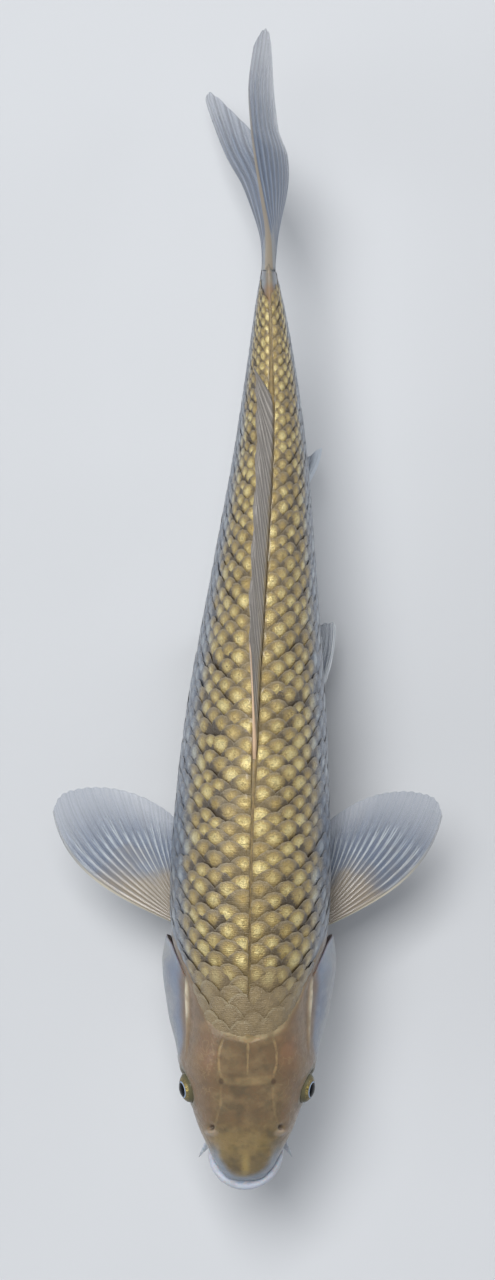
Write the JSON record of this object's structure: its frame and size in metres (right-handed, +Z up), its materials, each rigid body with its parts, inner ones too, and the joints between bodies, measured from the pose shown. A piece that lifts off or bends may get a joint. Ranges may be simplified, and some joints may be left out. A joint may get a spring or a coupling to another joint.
{
  "type": "koi carp model",
  "caption": "Life-size still model of a slim koi carp swimming with spread pectoral fins and a cupped tail, held over a flat base by short upright rods.",
  "frame": {"origin": "middle of the underside of the stand's base", "axes": "-Y from tail to head, the way the fish swims; +Z up; +X towards the fish's own left"},
  "size_m": [0.1538, 0.4442, 0.1585],
  "materials": {
    "head_skin": "wet brown skin",
    "body_scales": "wet gold-grey scales",
    "gill_plate": "wet pearly grey",
    "lip": "wet pale skin",
    "fin": "wet translucent membrane",
    "eye": "clear gloss",
    "stand_paint": "satin black",
    "stand_steel": "brushed"
  },
  "bodies": {
    "root": {"head": "head_skin", "lower_jaw": "head_skin", "upper_lip": "lip", "lower_lip": "lip", "eye_left": "eye", "eye_right": "eye", "gill_cover_left": "gill_plate", "gill_cover_right": "gill_plate", "barbel_front_left": "lip", "barbel_front_right": "lip", "barbel_rear_left": "lip", "barbel_rear_right": "lip", "shoulders": "body_scales", "trunk": "body_scales", "tail_stalk": "body_scales", "dorsal_fin": "fin", "anal_fin": "fin", "pectoral_fin_left": "fin", "pectoral_fin_right": "fin", "pelvic_fin_left": "fin", "pelvic_fin_right": "fin", "tail_fin_upper": "fin", "tail_fin_lower": "fin", "stand_base": "stand_paint", "stand_rod_front": "stand_steel", "stand_rod_rear": "stand_steel"}
  },
  "joints": []
}
